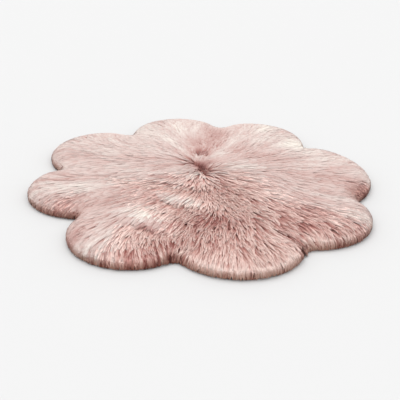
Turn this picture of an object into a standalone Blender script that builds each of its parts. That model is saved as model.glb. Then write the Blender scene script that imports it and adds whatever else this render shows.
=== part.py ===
"""A flower-shaped shag rug: one piece of long-pile fur cloth cut to eight petals, lying flat.

Run it with  blender --background --python part.py  or from Blender's text editor.
Metres, +Z up. The origin is on the underside, below the middle of the rug's box.

The cloth and its pile are one closed solid. It is the space that the combed pile fills: a flat
underside, sides that bulge out over it and roll back in, and a crown that sinks along the line
from each notch to the middle and at the whorl where the pile parts.
"""

import math
from collections import namedtuple

import bmesh
import bpy
from mathutils import Vector

# ---------------------------------------------------------------- driving sizes

# Each petal is a round lobe: its bearing in degrees anticlockwise from +X, how far its tip
# reaches from the middle, the radius of its lobe, and how high its pile stands.
Petal = namedtuple("Petal", "name bearing reach radius crown")
PETALS = (
    Petal("right", 14.3, 0.592, 0.260, 0.046),
    Petal("right_back", 62.7, 0.614, 0.189, 0.045),
    Petal("back", 103.1, 0.601, 0.191, 0.046),
    Petal("left_back", 150.6, 0.605, 0.203, 0.045),
    Petal("left", 194.8, 0.581, 0.179, 0.044),
    Petal("left_front", 241.3, 0.613, 0.188, 0.047),
    Petal("front", 284.7, 0.601, 0.209, 0.048),
    Petal("right_front", 327.0, 0.591, 0.208, 0.046),
)
HEART_RADIUS = 0.350     # the disc that the petals grow from
HEART_CROWN = 0.047      # the pile's height over that disc
NOTCH_SOFTNESS = 0.010   # how far the pile rounds off a notch between two petals

# The rim from the floor up. inset is how far the pile's side lies inside its widest line, and
# height is how high it is there, as a share of the crown next to it.
RimStep = namedtuple("RimStep", "inset height")
RIM = (
    RimStep(0.018, 0.00),
    RimStep(0.006, 0.12),
    RimStep(0.000, 0.30),
    RimStep(0.004, 0.52),
    RimStep(0.014, 0.72),
    RimStep(0.030, 0.87),
    RimStep(0.052, 0.96),
)

# The crown's rings, as shares of the way from the middle to the innermost rim step.
CROWN_RINGS = (0.93, 0.84, 0.74, 0.63, 0.52, 0.41, 0.30, 0.20, 0.12, 0.06)

VALLEY_DEPTH = 0.013     # how far the crown sinks at a notch
VALLEY_WIDTH = 0.042     # half the width of that sunk line
VALLEY_LENGTH = 0.190    # how far it runs in towards the middle before it is gone
WHORL_DEPTH = 0.009      # how far it sinks where the pile parts
WHORL_RADIUS = 0.045
WHORL_PLACE = Vector((-0.007, 0.035))

COLUMNS = 192            # points round the outline
PILE_COLOUR = (0.62, 0.40, 0.37, 1.0)   # dusty pink
PILE_ROUGHNESS = 0.85


# ---------------------------------------------------------------- plan

def lobe_distance(petal, bearing):
    """From the middle out to the far side of one petal's lobe, or to the heart's edge past it."""
    turn = (bearing - math.radians(petal.bearing) + math.pi) % math.tau - math.pi
    lobe_centre = petal.reach - petal.radius
    beside = lobe_centre * math.sin(turn)
    if abs(beside) >= petal.radius or math.cos(turn) <= 0:
        return HEART_RADIUS
    return lobe_centre * math.cos(turn) + math.sqrt(petal.radius**2 - beside**2)


def outline_distance(bearing):
    """The flower's outline: the farthest lobe, blended softly with its neighbour at a notch."""
    distances = [lobe_distance(petal, bearing) for petal in PETALS]
    farthest = max(distances)
    blend = sum(math.exp((d - farthest) / NOTCH_SOFTNESS) for d in distances)
    return farthest + NOTCH_SOFTNESS * math.log(blend)


def along(bearing, distance=1.0):
    return Vector((math.cos(bearing), math.sin(bearing))) * distance


def outline_points():
    bearings = [math.tau * i / COLUMNS for i in range(COLUMNS)]
    return [along(bearing, outline_distance(bearing)) for bearing in bearings]


def inward_normals(points):
    """At each outline point, the direction square to the outline that points into the rug."""
    normals = []
    for i in range(len(points)):
        edge = points[(i + 1) % len(points)] - points[i - 1]
        normals.append(Vector((-edge.y, edge.x)).normalized())
    return normals


def notches():
    """The outline's lowest place between each petal and the next, as a bearing and a distance."""
    found = []
    for petal, following in zip(PETALS, PETALS[1:] + PETALS[:1]):
        start = math.radians(petal.bearing)
        gap = math.radians((following.bearing - petal.bearing) % 360)
        bearings = [start + gap * i / 100 for i in range(101)]
        bearing = min(bearings, key=outline_distance)
        found.append((bearing, outline_distance(bearing)))
    return found


# ---------------------------------------------------------------- height

def smooth(share):
    """0 below 0, 1 above 1, and an easy S between them."""
    share = min(max(share, 0.0), 1.0)
    return share * share * (3 - 2 * share)


def bell(distance, radius):
    return math.exp(-((distance / radius) ** 2))


def crown_height(place, valleys):
    """How high the pile stands over a place in plan, away from the rim."""
    height = HEART_CROWN
    for petal in PETALS:
        lobe_centre = along(math.radians(petal.bearing), petal.reach - petal.radius)
        near = bell((place - lobe_centre).length, petal.radius)
        height += (petal.crown - HEART_CROWN) * near
    for bearing, distance in valleys:
        ray = along(bearing)
        out = place.dot(ray)
        beside = abs(place.x * ray.y - place.y * ray.x)
        if out > 0:
            deep = smooth(1 - (distance - out) / VALLEY_LENGTH)
            height -= VALLEY_DEPTH * deep * bell(beside, VALLEY_WIDTH)
    height -= WHORL_DEPTH * bell((place - WHORL_PLACE).length, WHORL_RADIUS)
    return height


# ---------------------------------------------------------------- the rug

def ring_of(mesh, places, heights):
    return [mesh.verts.new((p.x, p.y, z)) for p, z in zip(places, heights)]


def bridge(mesh, lower, upper):
    """Joins two rings of vertices that lie point by point over each other."""
    for i in range(len(lower)):
        j = (i + 1) % len(lower)
        mesh.faces.new((lower[i], lower[j], upper[j], upper[i]))


def make_fur_rug():
    mesh = bmesh.new()
    edge = outline_points()
    inward = inward_normals(edge)
    valleys = notches()

    rings = []
    for step in RIM:
        places = [p + n * step.inset for p, n in zip(edge, inward)]
        heights = [step.height * crown_height(p, valleys) for p in places]
        rings.append(ring_of(mesh, places, heights))
    innermost = [vertex.co.to_2d() for vertex in rings[-1]]
    for share in CROWN_RINGS:
        places = [p * share for p in innermost]
        lift = smooth((1 - share) / (1 - CROWN_RINGS[1]))
        rim_share = RIM[-1].height + (1 - RIM[-1].height) * lift
        heights = [rim_share * crown_height(p, valleys) for p in places]
        rings.append(ring_of(mesh, places, heights))

    for lower, upper in zip(rings, rings[1:]):
        bridge(mesh, lower, upper)
    middle = Vector((0.0, 0.0))
    top = mesh.verts.new((0.0, 0.0, crown_height(middle, valleys)))
    last = rings[-1]
    for i in range(len(last)):
        mesh.faces.new((last[i], last[(i + 1) % len(last)], top))
    mesh.faces.new(reversed(rings[0]))
    bmesh.ops.recalc_face_normals(mesh, faces=mesh.faces)

    data = bpy.data.meshes.new("fur_rug")
    mesh.to_mesh(data)
    mesh.free()
    return data


def centred(data):
    """Moves the rug so that the origin lies below the middle of its box."""
    xs = [vertex.co.x for vertex in data.vertices]
    ys = [vertex.co.y for vertex in data.vertices]
    middle = Vector(((min(xs) + max(xs)) / 2, (min(ys) + max(ys)) / 2, 0.0))
    for vertex in data.vertices:
        vertex.co -= middle
    return middle


def pile_material():
    material = bpy.data.materials.new("dusty_pink_pile")
    material.use_nodes = True
    shader = material.node_tree.nodes["Principled BSDF"]
    shader.inputs["Base Color"].default_value = PILE_COLOUR
    shader.inputs["Roughness"].default_value = PILE_ROUGHNESS
    shader.inputs["Metallic"].default_value = 0.0
    return material


def main():
    for old in list(bpy.data.objects):
        bpy.data.objects.remove(old)
    data = make_fur_rug()
    moved = centred(data)
    data.shade_smooth()
    data.set_sharp_from_angle(angle=math.radians(50))
    rug = bpy.data.objects.new("fur_rug", data)
    rug.data.materials.append(pile_material())
    bpy.context.scene.collection.objects.link(rug)
    bpy.context.view_layer.update()
    print("fur_rug", [round(side, 4) for side in rug.dimensions], "moved by", moved)


main()
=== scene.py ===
# %% [markdown]
# # A flower-shaped shag rug
# The real rug is one piece of long-pile fur cloth: a thin knitted ground with a deep, soft
# synthetic fur standing on it, cut to eight round petals and laid flat on the floor. Everything
# that is seen from above is pile, so almost all of this lesson is about making fur that is real
# geometry: nearly forty thousand tapered locks, combed outwards from a short crest a little
# behind the middle, and hanging over the rim like a curtain.
#
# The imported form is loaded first. It is the block of space that the cloth and its pile fill, and
# every piece below takes its place from it.

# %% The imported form
import math
from collections import namedtuple

import bmesh
import bpy
import numpy as np
from mathutils import Matrix, Vector
from mathutils.bvhtree import BVHTree
from mathutils.kdtree import KDTree


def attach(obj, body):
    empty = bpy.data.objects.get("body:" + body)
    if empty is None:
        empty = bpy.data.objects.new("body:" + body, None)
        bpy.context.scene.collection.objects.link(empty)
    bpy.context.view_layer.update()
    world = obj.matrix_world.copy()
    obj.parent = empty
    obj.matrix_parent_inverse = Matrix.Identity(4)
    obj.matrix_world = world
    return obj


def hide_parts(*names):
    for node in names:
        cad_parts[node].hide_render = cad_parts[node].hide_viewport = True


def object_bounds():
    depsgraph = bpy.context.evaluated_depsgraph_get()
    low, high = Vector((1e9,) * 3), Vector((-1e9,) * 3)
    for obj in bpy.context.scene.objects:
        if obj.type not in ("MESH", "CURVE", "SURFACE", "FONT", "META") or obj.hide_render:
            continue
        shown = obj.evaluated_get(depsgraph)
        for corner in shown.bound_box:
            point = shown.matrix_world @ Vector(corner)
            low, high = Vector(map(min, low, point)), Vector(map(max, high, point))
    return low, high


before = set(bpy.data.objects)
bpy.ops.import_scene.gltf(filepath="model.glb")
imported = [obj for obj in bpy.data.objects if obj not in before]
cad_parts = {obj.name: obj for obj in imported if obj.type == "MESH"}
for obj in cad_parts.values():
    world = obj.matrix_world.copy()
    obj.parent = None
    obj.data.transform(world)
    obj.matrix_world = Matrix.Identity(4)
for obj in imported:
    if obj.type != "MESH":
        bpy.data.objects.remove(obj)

cad_low, cad_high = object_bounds()
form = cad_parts["fur_rug"]
pile_top = cad_high.z - cad_low.z
middle = np.array([(cad_low.x + cad_high.x) / 2, (cad_low.y + cad_high.y) / 2])


def in_mm(metres):
    """Metres as rounded millimetres, to print."""
    return (np.array(metres, dtype=float) * 1000).round(1).tolist()


print("form in millimetres:", in_mm(cad_high - cad_low))

# %% [markdown]
# ## Where the eye stands
# The rug is seen from in front and above, from about the height of somebody sitting on a low
# chair. The lens and the distance decide how much smaller the far petals look than the near
# ones, so both are real sizes. The head is tilted by two degrees, so the camera is turned by its
# own right, up and forward directions.

# %% Camera
EYE_TARGET = Vector((-0.0152, -0.1101, 0.0))
EYE_DISTANCE = 2.231
EYE_ELEVATION = math.radians(26.16)
EYE_ROLL = math.radians(2.16)
EYE_LENS_MM = 61.57
SENSOR_MM = 36.0
NEAREST_SEEN = 0.05
FURTHEST_SEEN = 200.0


def new_object(name, data):
    """An object in the scene that shows a camera, a lamp or a mesh."""
    thing = bpy.data.objects.new(name, data)
    bpy.context.scene.collection.objects.link(thing)
    return thing


forward = Vector((0.0, math.cos(EYE_ELEVATION), -math.sin(EYE_ELEVATION)))
level_right = Vector((1.0, 0.0, 0.0))
level_up = level_right.cross(forward)
right = math.cos(EYE_ROLL) * level_right + math.sin(EYE_ROLL) * level_up
up = right.cross(forward)
eye = EYE_TARGET - forward * EYE_DISTANCE

camera_data = bpy.data.cameras.new("eye")
camera_data.lens = EYE_LENS_MM
camera_data.sensor_width = SENSOR_MM
camera_data.clip_start = NEAREST_SEEN
camera_data.clip_end = FURTHEST_SEEN
camera = new_object("eye", camera_data)
turned = Matrix((right, up, -forward)).transposed().to_4x4()
camera.matrix_world = Matrix.Translation(eye) @ turned
bpy.context.scene.camera = camera
print("eye height in metres:", round(eye.z, 3))

# %% [markdown]
# ## Three small helpers for finishes
# Colours are written the way a paint chart writes them, as sRGB hex values, and a shader wants
# linear light, so one function turns one into the other. A second function adds a shader node
# with its settings and links in one call, and a third one starts an empty material.

# %% Colour and node helpers
def dye(hex_code):
    """An sRGB hex colour as the linear colour that a shader takes."""
    shares = [int(hex_code[k:k + 2], 16) / 255 for k in (1, 3, 5)]
    linear = [s / 12.92 if s <= 0.04045 else ((s + 0.055) / 1.055) ** 2.4 for s in shares]
    return (*linear, 1.0)


def add(tree, kind, sockets=None, stops=(), **settings):
    """A new node: settings are its own, sockets take values, outputs or nodes, which stand for
    their first output, and stops fill its ramp."""
    node = tree.nodes.new(kind)
    for name, value in settings.items():
        setattr(node, name, value)
    for socket, value in (sockets or {}).items():
        if isinstance(value, bpy.types.Node):
            value = value.outputs[0]
        if isinstance(value, bpy.types.NodeSocket):
            tree.links.new(value, node.inputs[socket])
        else:
            node.inputs[socket].default_value = value
    for number, (place, hex_code) in enumerate(stops):
        ramp = node.color_ramp
        element = ramp.elements[number] if number < 2 else ramp.elements.new(place)
        element.position = place
        element.color = dye(hex_code)
    return node


def blank_material(name):
    """A material with nothing in it, and its node tree."""
    material = bpy.data.materials.new(name)
    material.use_nodes = True
    material.node_tree.nodes.clear()
    return material, material.node_tree


print("white is", dye("#ffffff"))

# %% [markdown]
# ## Floor and light
# The rug lies on a plain pale floor under soft studio light. A real studio gets this from a big
# white room: light comes from everywhere, with one broad lamp a little stronger. Here an even
# pale sky is the room, and a very wide sun from behind the rug is the lamp. Because the lamp is
# wide, the shadow is only a soft darkening under the edge.

# %% Floor and light
FLOOR_SIDE = 60.0
SKY_STRENGTH = 1.22
LAMP_STRENGTH = 1.00
LAMP_WIDTH = math.radians(50)
LAMP_ELEVATION = math.radians(62)
LAMP_BEARING = math.radians(120)

bpy.ops.mesh.primitive_plane_add(size=FLOOR_SIDE, location=(0, 0, cad_low.z))
floor = bpy.context.object
floor.name = "studio_floor"
# Paper without gloss, a light grey that the strong light brings up to nearly white.
floor_finish, tree = blank_material("matt studio paper")
shader = add(tree, "ShaderNodeBsdfPrincipled", {
    "Base Color": dye("#cdcdcd"), "Roughness": 0.9, "Specular IOR Level": 0.1})
add(tree, "ShaderNodeOutputMaterial", {"Surface": shader})
floor.data.materials.append(floor_finish)

world = bpy.data.worlds.new("pale room")
world.use_nodes = True
world.node_tree.nodes.clear()
sky = add(world.node_tree, "ShaderNodeBackground", {
    "Color": dye("#ffffff"), "Strength": SKY_STRENGTH})
add(world.node_tree, "ShaderNodeOutputWorld", {"Surface": sky})
bpy.context.scene.world = world

lamp_data = bpy.data.lights.new("broad lamp", "SUN")
lamp_data.energy = LAMP_STRENGTH
lamp_data.angle = LAMP_WIDTH
lamp = new_object("broad lamp", lamp_data)
toward_lamp = Vector((
    math.cos(LAMP_ELEVATION) * math.cos(LAMP_BEARING),
    math.cos(LAMP_ELEVATION) * math.sin(LAMP_BEARING),
    math.sin(LAMP_ELEVATION)))
lamp.rotation_mode = "QUATERNION"
lamp.rotation_quaternion = toward_lamp.to_track_quat("Z", "Y")
bpy.context.scene.view_settings.view_transform = "Standard"
print("lamp comes from", [round(part, 2) for part in toward_lamp])

# %% [markdown]
# ## Feeling the form
# Every lock has to follow the rug's rounded surface, also where it bends over the edge and down
# to the floor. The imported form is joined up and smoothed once, and stored in a search tree that
# answers "what is the nearest place on the surface, and which way does it face?" very quickly.
# Its outline is felt out with rays from all round.

# %% The form as a surface to follow
WELD_GAP = 1e-5
FLAT_ENOUGH = 0.7
SQUARE_ENOUGH = 3.1
SMOOTHING_LEVELS = 1


def smooth_copy(source):
    """The vertices and faces of a joined, rounded copy of a mesh object."""
    mesh = source.data.copy()
    working = bmesh.new()
    working.from_mesh(mesh)
    bmesh.ops.remove_doubles(working, verts=working.verts, dist=WELD_GAP)
    bmesh.ops.join_triangles(
        working, faces=working.faces,
        angle_face_threshold=FLAT_ENOUGH, angle_shape_threshold=SQUARE_ENOUGH)
    working.to_mesh(mesh)
    working.free()
    carrier = new_object("carrier", mesh)
    rounder = carrier.modifiers.new("rounder", "SUBSURF")
    rounder.levels = SMOOTHING_LEVELS
    rounder.render_levels = SMOOTHING_LEVELS
    depsgraph = bpy.context.evaluated_depsgraph_get()
    rounded = carrier.evaluated_get(depsgraph).to_mesh()
    places = np.empty(len(rounded.vertices) * 3)
    rounded.vertices.foreach_get("co", places)
    faces = [tuple(face.vertices) for face in rounded.polygons]
    carrier.to_mesh_clear()
    bpy.data.objects.remove(carrier)
    return places.reshape(-1, 3), faces


form_places, form_faces = smooth_copy(form)
form_tree = BVHTree.FromPolygons(form_places.tolist(), form_faces)


def settle(points):
    """The nearest place on the form to each point, and the way that the form faces there."""
    places = np.empty((len(points), 3))
    facing = np.empty((len(points), 3))
    for number, point in enumerate(points.tolist()):
        place, normal, _, _ = form_tree.find_nearest(point)
        places[number] = place
        facing[number] = normal
    return places, facing


print("surface to follow:", len(form_faces), "faces")

# %% The outline of the cut
OUTLINE_RAYS = 1080
FEELER_HEIGHTS = (0.008, 0.011, 0.014)
FEELER_START = 1.0

bearings = np.linspace(0, 2 * math.pi, OUTLINE_RAYS, endpoint=False)
rim_reach = np.zeros(OUTLINE_RAYS)
for number, bearing in enumerate(bearings):
    inward = Vector((-math.cos(bearing), -math.sin(bearing), 0))
    for height in FEELER_HEIGHTS:
        start = Vector((middle[0], middle[1], height)) - inward * FEELER_START
        hit, _, _, travelled = form_tree.ray_cast(start, inward)
        if hit is not None:
            rim_reach[number] = max(rim_reach[number], FEELER_START - travelled)
outline = middle + rim_reach[:, None] * np.column_stack((np.cos(bearings), np.sin(bearings)))

rim_run = np.roll(outline, -1, axis=0) - np.roll(outline, 1, axis=0)
rim_outward = np.column_stack((rim_run[:, 1], -rim_run[:, 0]))
rim_outward /= np.linalg.norm(rim_outward, axis=1)[:, None]
rim_tree = KDTree(OUTLINE_RAYS)
for number, (x, y) in enumerate(outline.tolist()):
    rim_tree.insert((x, y, 0), number)
rim_tree.balance()


def rim_at(plan):
    """For each place in plan, its distance inside the rim (negative outside) and the way out."""
    depth = np.empty(len(plan))
    outward = np.empty((len(plan), 2))
    for number, (x, y) in enumerate(plan.tolist()):
        place, index, distance = rim_tree.find((x, y, 0))
        outward[number] = rim_outward[index]
        way_back = (place.x - x) * rim_outward[index, 0] + (place.y - y) * rim_outward[index, 1]
        depth[number] = distance if way_back > 0 else -distance
    return depth, outward


def area_inside(ring):
    """The area inside a ring of places in plan."""
    following = np.roll(ring, -1, axis=0)
    return 0.5 * float(np.sum(ring[:, 0] * following[:, 1] - following[:, 0] * ring[:, 1]))


print("area inside the rim, square metres:", round(area_inside(outline), 3))

# %% [markdown]
# ## How the fur lies
# Fur cloth is brushed at the mill and shakes out when it is unrolled, so its locks lie in broad
# smooth sweeps. On this rug they run outwards from a short crest a little behind the middle,
# like the crown of a head of hair, and turn to cross the edge squarely.
#
# Four tables say where the pile differs from place to place: where its colour is deeper or paler,
# partly its own tone and partly painted sheen and shade, where it is tousled and stands up, where
# it has painted brown shade, and where it parts. Each row is one soft oval patch. Where patches
# overlap they add up. Such a table is easier to read and to change by hand than a painted map, and
# it is true to size.

# %% Tables of patches
Patch = namedtuple("Patch", "x y length width bearing amount")


def patch_table(*rows):
    """Patches from rows of x and y from the rug's middle, length and width, all in millimetres,
    the bearing of the length in degrees, and the amount."""
    return [Patch(*(size / 1000 for size in row[:4]), *row[4:]) for row in rows]


# Deeper (positive) and paler (negative) tones, partly the pile's own and partly painted light:
# paler patches paint in the sheen on the far petals and on two streaks in the middle, and deeper
# ones paint in shade at the crest.
TONE_AND_LIGHT_PATCHES = patch_table(
    # The crest, deepened with painted shade.
    (-20, 74, 55, 34, 122, 0.45), (-27, 84, 22, 13, 150, 1.00), (-9, 54, 28, 10, 105, 1.00),
    (-15, 200, 36, 30, 0, 0.66), (30, 110, 60, 20, 10, 0.20),
    # The far petals, with patches of painted sheen.
    (35, 390, 110, 50, 100, 0.19), (-35, 290, 120, 60, 90, 0.20), (220, 170, 120, 45, -10, 0.20),
    (110, 250, 100, 50, 0, 0.16), (130, 85, 80, 35, 0, -0.16), (0, 280, 50, 45, 0, 0.12),
    (-280, 290, 80, 60, 0, -0.12), (-440, 270, 60, 50, 0, -0.10), (-140, 130, 80, 50, -20, 0.05),
    (60, 180, 40, 40, 0, -0.12), (0, 455, 50, 40, 0, 0.10), (270, 360, 30, 40, 0, 0.12),
    (180, 360, 40, 40, 0, -0.14), (-190, 350, 50, 50, 0, 0.12), (-360, 180, 60, 50, 0, -0.14),
    (-160, 455, 150, 110, 60, -0.24), (235, 465, 110, 60, 110, -0.26),
    (365, 325, 70, 75, 0, -0.42), (430, 205, 70, 55, 0, -0.20),
    # The middle, with two pale streaks of painted sheen.
    (0, -12, 60, 30, 0, -0.26), (70, -70, 70, 40, -60, 0.08), (20, -165, 110, 50, 0, -0.34),
    (-140, -45, 70, 16, -10, 0.25), (-85, -110, 110, 12, -16, 0.50),
    (-30, -174, 110, 34, -28, -0.76), (20, -255, 130, 45, 0, -0.46),
    (-105, -240, 70, 14, -30, 0.25), (-160, -316, 112, 46, -27, -0.62),
    (10, -345, 85, 34, 10, 0.29), (10, -185, 35, 22, -20, -0.25), (-80, -280, 60, 30, -20, -0.25),
    (100, -270, 70, 50, 0, -0.20), (-205, -255, 90, 40, -10, 0.22), (-170, -185, 50, 28, 0, 0.14),
    (180, -90, 50, 40, 0, 0.12), (100, 0, 50, 30, 0, 0.10), (180, -270, 50, 40, 0, -0.14),
    (-190, 0, 60, 30, 0, -0.12),
    # The front petals.
    (60, -430, 110, 50, 0, -0.12), (-90, -375, 60, 22, 0, 0.26), (-165, -402, 60, 16, -28, 0.40),
    (-115, -468, 100, 34, 105, 0.30), (-120, -545, 70, 30, 0, 0.12),
    (-160, -460, 75, 45, 0, -0.50), (-170, -550, 70, 30, 0, 0.26), (180, -480, 60, 50, 0, -0.20),
    (190, -550, 110, 35, 0, -0.20), (-60, -560, 40, 30, 0, -0.16),
    # The right-hand petals and notches.
    (450, -270, 40, 40, 0, -0.14), (210, -350, 120, 40, -25, 0.14),
    (310, -260, 110, 80, -10, 0.28), (300, -130, 200, 120, 100, 0.12),
    (330, -350, 70, 45, -30, 0.10), (450, -360, 40, 50, 0, 0.20), (262, -425, 50, 16, -50, 0.35),
    (275, -445, 45, 35, -50, 0.14), (365, -460, 60, 40, -40, -0.44), (450, 10, 100, 60, 0, 0.13),
    (520, -50, 50, 40, 30, 0.30), (530, 60, 40, 50, 0, -0.12),
    # The left-hand petals.
    (-370, -440, 50, 60, 0, 0.14), (-430, -250, 80, 50, 20, 0.18),
    (-310, -275, 110, 45, 10, 0.12), (-270, -100, 50, 40, 0, -0.10), (-450, 80, 60, 50, 0, 0.09),
    (-270, 90, 50, 40, 0, 0.08), (-400, -340, 90, 50, -40, 0.10), (-280, -190, 120, 60, 0, 0.10),
    (-450, -90, 60, 40, 0, 0.12), (-430, -140, 110, 60, 0, -0.15),
)

# Tousled pile (positive) stands up in wavy strands; elsewhere it lies silky and close.
TOUSLED_PATCHES = patch_table(
    (30, -105, 155, 130, 100, 0.8), (40, -300, 220, 160, 0, 0.9), (-160, -460, 160, 110, 15, 0.8),
    (120, -500, 200, 110, 0, 0.55), (-42, -170, 85, 28, -28, -0.8),
    (-162, -308, 90, 32, -27, -0.8), (340, -340, 130, 100, -30, 0.6),
    (410, -390, 80, 60, -40, 0.5), (-240, -60, 90, 30, -10, 0.35), (510, -40, 70, 50, 30, 0.6),
    (-85, -112, 110, 20, -16, 0.5), (-440, -230, 110, 60, 20, 0.4),
    (-300, -405, 90, 80, -40, -0.6), (-100, 110, 100, 60, -10, -0.4),
    (110, 110, 100, 50, 10, -0.3),
)

# Painted brown shade at the right petal's tip, as strong as all round the foot of the rim.
BROWN_SHADE_PATCHES = patch_table(
    (520, -70, 60, 35, 35, 0.55),
)

# A parting is a line along which the fur falls to both sides.
PARTINGS = patch_table(
    (-19, 72, 30, 5, 122, 0.6), (-4, 30, 35, 5, 100, 0.8), (-15, 203, 26, 7, 20, 0.9),
    (-85, -114, 100, 6, -16, 0.7), (-105, -240, 60, 6, -30, 0.6), (-165, -402, 55, 7, -28, 0.6),
    (262, -425, 50, 7, -50, 0.9),
)

# %% Reading the tables
def patch_frame(plan, patch):
    """Places in plan measured along and across a patch, in patch lengths and widths."""
    bearing = math.radians(patch.bearing)
    offset = plan - middle - np.array((patch.x, patch.y))
    along = offset[:, 0] * math.cos(bearing) + offset[:, 1] * math.sin(bearing)
    across = offset[:, 1] * math.cos(bearing) - offset[:, 0] * math.sin(bearing)
    return along / patch.length, across / patch.width


def patched(plan, patches):
    """The sum of soft patches at each place in plan."""
    total = np.zeros(len(plan))
    for patch in patches:
        along, across = patch_frame(plan, patch)
        total += patch.amount * np.exp(-along ** 2 - across ** 2)
    return total


print("patches:", [
    len(table) for table in (TONE_AND_LIGHT_PATCHES, TOUSLED_PATCHES, BROWN_SHADE_PATCHES, PARTINGS)])

# %% [markdown]
# ## The comb
# The comb says which way the fur is brushed at each place. On the real rug that is the work of
# brushes and hands, and it could be brushed by hand here too, but then it couldn't be written
# down in a script. So it is a sum of simple wishes: away from the crest, squarely over the rim
# where the rim is near, and a slow wander that comes from smooth noise and is stronger where the
# pile is tousled. It is asked for about a million times, so it is worked out once on a fine grid
# and only read from there.

# %% Smooth noise and unit lengths
TINY = 1e-9
LATTICE = 64
NOISE_SHIFT = 7.37


def blended(grid, corner, opposite, part):
    """Values between the four grid points round each place, part of the way across."""
    i, j = corner.T
    k, m = opposite.T
    u, v = (part[:, :1], part[:, 1:]) if grid.ndim == 3 else part.T
    low = grid[i, j] * (1 - u) + grid[k, j] * u
    high = grid[i, m] * (1 - u) + grid[k, m] * u
    return low * (1 - v) + high * v


def drift(plan, strength, size, seed):
    """Smooth noise up to plus or minus strength, with lumps about size metres across."""
    lattice = np.random.default_rng(seed).uniform(-1, 1, (LATTICE, LATTICE))
    scaled = plan / size + NOISE_SHIFT
    corner = np.floor(scaled).astype(int)
    part = scaled - corner
    part = part * part * (3 - 2 * part)
    return strength * blended(lattice, corner % LATTICE, (corner + 1) % LATTICE, part)


def at_height(plan, height=0.0):
    """Places or headings in plan, with a height."""
    return np.column_stack((plan, np.full(len(plan), height)))


def unit(vectors):
    """Each row at length one."""
    return vectors / np.maximum(np.linalg.norm(vectors, axis=-1, keepdims=True), TINY)


print("noise at the middle:", drift(middle[None], 1, 0.1, 1).round(3))

# %% The comb
CREST_ENDS = middle + np.array(((-0.032, 0.092), (-0.006, 0.052)))
RIM_PULL = 1.5
RIM_BAND = 0.085
CREST_TURN = 20
CREST_TURN_REACH = 0.05

# Noise that unsettles the tousle and turns the comb: strength, size in metres, and seed.
TOUSLE_DRIFT = (0.12, 0.09, 23)
BROAD_TURN = (15, 0.16, 11)
SMALL_TURN = (9, 0.055, 12)
TOUSLED_TURN = (20, 0.024, 13)


def tousled(plan):
    """From 0, silky, to 1, tousled."""
    return np.clip(patched(plan, TOUSLED_PATCHES) + drift(plan, *TOUSLE_DRIFT), 0, 1)


def from_crest(plan):
    """From the nearest place on the crest line to each place in plan."""
    run = CREST_ENDS[1] - CREST_ENDS[0]
    share = np.clip((plan - CREST_ENDS[0]) @ run / (run @ run), 0, 1)
    return plan - CREST_ENDS[0] - share[:, None] * run


def turned_by(headings, angle):
    """Headings in plan, each turned by its angle in radians."""
    return np.column_stack((
        headings[:, 0] * np.cos(angle) - headings[:, 1] * np.sin(angle),
        headings[:, 0] * np.sin(angle) + headings[:, 1] * np.cos(angle)))


def combed(plan):
    """The way that the fur is combed at each place in plan."""
    away = from_crest(plan)
    reach = np.linalg.norm(away, axis=1)
    depth, outward = rim_at(plan)
    pull = RIM_PULL * np.exp(-(np.maximum(depth, 0) / RIM_BAND) ** 2)
    sweep = unit(away) + pull[:, None] * outward
    turn = np.radians(
        drift(plan, *BROAD_TURN) + drift(plan, *SMALL_TURN)
        + tousled(plan) * drift(plan, *TOUSLED_TURN)
        + CREST_TURN * np.exp(-(reach / CREST_TURN_REACH) ** 2))
    return unit(turned_by(sweep, turn))


print("crest in millimetres:", in_mm(CREST_ENDS))

# %% The comb on a fine grid
FIELD_STEP = 0.002
FIELD_MARGIN = 0.03

field_reach = rim_reach.max() + FIELD_MARGIN
field_side = int(2 * field_reach / FIELD_STEP) + 2
field_low = middle - field_reach
field_line = np.arange(field_side) * FIELD_STEP
field_grid = np.stack(np.meshgrid(field_line, field_line, indexing="ij"), -1)
field_places = field_grid.reshape(-1, 2) + field_low
comb_field = combed(field_places).reshape(field_side, field_side, 2)


def read_field(field, plan):
    """The value of a square field at places in plan."""
    scaled = np.clip((plan - field_low) / FIELD_STEP, 0, field_side - 1.001)
    cell = scaled.astype(int)
    return blended(field, cell, cell + 1, scaled - cell)


print("comb field:", field_side, "by", field_side)

# %% [markdown]
# ## Strands and clumps
# Stroke a shag rug and its pile falls into strands, and the strands into clumps, with thin
# shadowy gaps that run the way the fur is combed. To find where they lie, smooth noise is drawn
# out along the comb: the value at a place is the mean of the noise at a dozen points of a short
# walk that follows the fur. It is made three times on the grid, for strands, for broader clumps
# and for streaks of tone, and later steps only look the answers up. A strand is a ridge where its
# value is high and a hollow where it is low. The gap between two clumps runs where the clumps'
# value passes through nought. The slopes say which way each side faces.

# %% Noise drawn out along the comb
WALK_STEPS = 12

# Size across and length along the comb, in metres, and seed.
STRANDS = (0.0050, 0.036, 51)
CLUMPS = (0.0100, 0.060, 52)
STREAKS = (0.026, 0.160, 53)


def drawn_out(size, length, seed):
    """A field of noise drawn out along the comb, spread to about -2 to 2, and its slope."""
    walker = field_places.copy()
    total = np.zeros(len(walker))
    for _ in range(WALK_STEPS):
        total += drift(walker, 1, size, seed)
        walker += read_field(comb_field, walker) * length / WALK_STEPS
    field = (total / total.std()).reshape(field_side, field_side)
    return field, np.stack(np.gradient(field, FIELD_STEP), -1)


strands, strand_slope = drawn_out(*STRANDS)
clumps, clump_slope = drawn_out(*CLUMPS)
tone_streaks, _ = drawn_out(*STREAKS)
print("strands, clumps and streaks run from", strands.min().round(1), "to", strands.max().round(1))

# %% [markdown]
# ## Paths for the tufts
# Fur never lies hair by hair: hairs cling together in a lock, and a few locks lean together in a
# tuft whose tips meet. So the paths are made in two steps. First each tuft gets a guide, which
# starts on the form and takes four strides over it, settling back on the surface after each one.
# At the rim the strides turn straight down, so the fur hangs to the floor like a short curtain.
# At the crest the locks are short and part to all sides, and extra tufts close the bare place
# that they would leave.

# %% Scattering the tufts
TUFT_SPACING = 0.0098
TUFT_SHAKE = 0.45
EDGE_MARGIN = 0.004
CREST_TUFTS = 280
CREST_SPREAD = 0.035

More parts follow.
